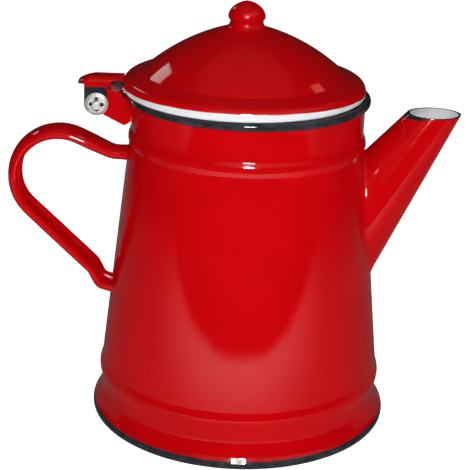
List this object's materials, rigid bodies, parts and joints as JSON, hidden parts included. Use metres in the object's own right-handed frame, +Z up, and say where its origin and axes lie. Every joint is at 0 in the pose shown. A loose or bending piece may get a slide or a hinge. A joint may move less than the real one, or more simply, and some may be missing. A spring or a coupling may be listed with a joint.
{
  "type": "coffee pot",
  "caption": "Conical enamelled sheet-steel coffee pot with a straight spout, a rolled strip handle and a domed lid with a ball knob, hinged above the handle.",
  "frame": {"origin": "centre of the foot ring, on the table", "axes": "+Z up along the body's axis, +X towards the spout, handle and lid hinge on the -X side"},
  "size_m": [0.2067, 0.1404, 0.1962],
  "materials": {
    "red_enamel": "glossy vitreous enamel, red outside, white inside, black on the rim and the foot's edge",
    "bright_steel": "bright zinc-plated steel"
  },
  "bodies": {
    "pot": {"body_shell": "red_enamel", "bottom_disc": "red_enamel", "spout": "red_enamel", "handle": "red_enamel", "hinge_bracket": "red_enamel"},
    "lid": {"lid_shell": "red_enamel", "lid_knob": "red_enamel", "lid_hinge_leaf": "red_enamel", "hinge_pin": "bright_steel", "push_nut": "bright_steel"}
  },
  "joints": [
    {"name": "lid_hinge", "type": "hinge", "parent": "pot", "child": "lid", "pos_m": [-0.0683, 0, 0.1481], "axis": [0, -1, 0], "range_deg": [0, 105]}
  ]
}
